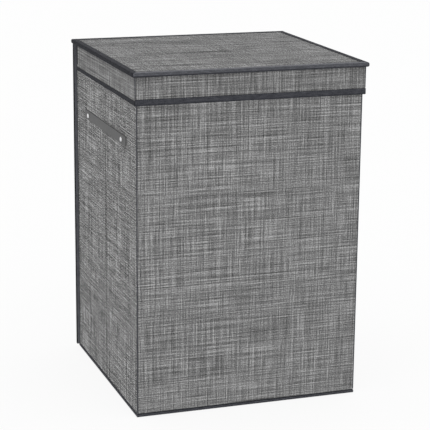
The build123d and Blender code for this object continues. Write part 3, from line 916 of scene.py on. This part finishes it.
def base_sleeve():
    """The lining sewn round the stiff base, pinched together along its front edge."""
    box_low, box_high = mm_box("base_cover")
    half, low, high = box_high[0] + 0.1, box_low[1] - 0.5, box_high[1] + 0.1
    under, over, middle = 0.9, 4.3, 2.6
    closing = -0.01         # the line ends beside its start, and its last point is left out
    section = rounded([(0.0, over), (half, over), (half, under), (-half, under), (-half, over),
                       (closing, over)], 0.9, turns=4)[:-1]
    ys = np.concatenate([[low, low + 0.3, low + 0.7], marks(low + 1.2, high, CELL)])
    grid = np.zeros((len(section), len(ys), 3))
    pinch = np.clip(ys - low, 0, 1) ** 0.5
    grid[:, :, 0] = section[:, None, 0]
    grid[:, :, 1] = ys[None, :]
    grid[:, :, 2] = middle + (section[:, None, 1] - middle) * (0.35 + 0.65 * pinch[None, :])
    around = np.concatenate([lengths(section), [lengths(section)[-1] + CELL]])
    u, v = np.meshgrid(around, ys, indexing="ij")
    uv = np.stack([u, v], axis=-1)
    sleeve = shell("base_sleeve", grid, uv, 0.4, lining, closed=True)
    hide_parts("base_cover")
    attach(sleeve, "base")


def base_tab():
    """The tab that pulls the base up."""
    low, high = mm_box("base_pull_tab")
    inset, thick = 0.2, 0.35
    tab = flat("base_tab_tape", low[:2] + inset, high[:2] - inset, high[2], True, thick, binding,
               seed=81, crown=0.15, step=2.0)
    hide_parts("base_pull_tab")
    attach(tab, "base")


def base_hinge():
    """The tape that joins the base's rear edge to the back wall."""
    low, high = mm_box("base_hinge_tape")
    wall = high[1] + 0.2
    level, forward, head, thick = 4.6, 11.7, 15.0, 0.35
    path = rounded([(wall - forward, level), (wall, level), (wall, head)], 1.2, step=1.5, turns=6)
    hinge = crosswise("base_hinge_fabric", low[0], high[0], path, thick)
    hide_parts("base_hinge_tape")
    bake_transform(hinge)


# --------------------------------------------------------------- handles

def strap(side, name):
    """A flat handle strap with rounded edges, bowed out from its wall over the crease."""
    thick, off_wall = 1.5, 0.15
    half, reach = (STRAP_HIGH[2] - STRAP_LOW[2]) / 2, (STRAP_HIGH[1] - STRAP_LOW[1]) / 2
    middle = (STRAP_HIGH[2] + STRAP_LOW[2]) / 2
    end, end_points, points = 6, 7, 150
    ys = np.concatenate([np.linspace(-reach, -reach + end, end_points),
                         np.linspace(-reach + end, reach - end, points)[1:-1],
                         np.linspace(reach - end, reach, end_points)])
    ring = rounded([(0, half), (thick, half), (thick, -half), (0, -half), (0, half)], thick * 0.45, step=2.0,
                   turns=3)[:-1]
    # Over its last 4 mm the strap narrows by up to 28 %, in a rounded line.
    to_end = np.minimum(ys + reach, reach - ys)
    from_tip = np.clip(to_end / 4.0, 0, 1)
    width = 1 - 0.28 * (1 - np.sqrt(np.clip(1 - (1 - from_tip) ** 2, 0, 1)))
    waver = 0.12 * swell(ys, np.zeros_like(ys), 91, 60.0) * np.clip(to_end / 20.0, 0, 1)
    bow = 0.45 * np.exp(-(ys / 40.0) ** 2) + waver
    stand = WALL_X + off_wall + bow
    grid = np.zeros((len(ring), len(ys), 3))
    grid[:, :, 0] = side * (stand[None, :] + ring[:, None, 0])
    grid[:, :, 1] = CREASE_Y + ys[None, :]
    grid[:, :, 2] = middle + ring[:, None, 1] * width[None, :]
    n, m = grid.shape[:2]
    verts = grid.reshape(-1, 3)
    faces, uvs = [], []
    across = ring[:, 1] + half
    for i in range(n):
        k = (i + 1) % n
        for j in range(m - 1):
            quad = [(i, j), (k, j), (k, j + 1), (i, j + 1)]
            if side < 0:
                quad = quad[::-1]
            faces.append([a * m + b for a, b in quad])
            uvs.extend((ys[b] + reach, across[a]) for a, b in quad)
    for j, order in ((0, 1), (m - 1, -1)):
        cap = [(i, j) for i in range(n)][::-order * (1 if side < 0 else -1)]
        faces.append([a * m + b for a, b in cap])
        uvs.extend((ys[b] + reach, across[a]) for a, b in cap)
    piece = finish_mesh(f"{name}_strap", verts, faces, uvs, strap_hide)
    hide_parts(f"{name}_handle_strap")
    bend_over_crease(piece)


def dress_cad():
    """Materials for the CAD pieces that stay: the rivets and the boards."""
    for name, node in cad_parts.items():
        look = nickel if "rivet" in name else grey_board if "board" in name else None
        if look is not None:
            node.data.materials.clear()
            node.data.materials.append(look)


# ---------------------------------------------------------------- studio

def studio():
    """A pale floor, even white light and the camera at the photograph's angle."""
    scene = bpy.context.scene
    mesh = bpy.data.meshes.new("studio_floor")
    reach, drop = 25.0, 0.0006
    corners = [(-reach, -reach, 0), (reach, -reach, 0), (reach, reach, 0), (-reach, reach, 0)]
    mesh.from_pydata(corners, [], [(0, 1, 2, 3)])
    ground = bpy.data.objects.new("studio_floor", mesh)
    ground.location.z = -drop
    ground.data.materials.append(floor_look())
    scene.collection.objects.link(ground)

    world = bpy.data.worlds.new("studio_world")
    scene.world = world
    world.use_nodes = True
    world.node_tree.nodes["Background"].inputs["Color"].default_value = (1.0, 1.0, 1.0, 1.0)
    world.node_tree.nodes["Background"].inputs["Strength"].default_value = 0.965

    lamps = (("key", (0.6, -3.2, 3.0), 3.0, 7.0), ("fill", (-3.0, -1.6, 2.2), 3.0, 4.0))
    for name, place, size, watts in lamps:
        lamp = bpy.data.lights.new(name, "AREA")
        lamp.size = size
        lamp.energy = watts
        obj = bpy.data.objects.new(name, lamp)
        obj.location = place
        aim = Vector((0, 0, 0.3)) - Vector(place)
        obj.rotation_euler = aim.to_track_quat("-Z", "Y").to_euler()
        scene.collection.objects.link(obj)

    scene.view_settings.view_transform = "Standard"
    camera_data = bpy.data.cameras.new("camera")
    camera_data.sensor_width = 36.0
    camera_data.lens = 134.8
    camera_data.clip_end = 100.0
    camera = bpy.data.objects.new("camera", camera_data)
    azimuth, elevation, distance, roll = math.radians(-19.12), math.radians(14.36), 2.951, 0.0092
    target = Vector((0.0053, 0.004, 0.2955))
    level = math.cos(elevation)
    away = Vector((math.sin(azimuth) * level, -math.cos(azimuth) * level, math.sin(elevation)))
    turn = (-away).to_track_quat("-Z", "Y").to_matrix() @ Matrix.Rotation(roll, 3, "Z")
    camera.matrix_world = Matrix.Translation(target + away * distance) @ turn.to_4x4()
    scene.collection.objects.link(camera)
    scene.camera = camera


front_wall()
side_wall(-1, "left")
side_wall(1, "right")
back_wall()
wall_tapes()
corner_piping()
lid()
skirt()
lid_hinge()
floor_cloth()
base_sleeve()
base_tab()
base_hinge()
strap(-1, "left")
strap(1, "right")
dress_cad()
studio()
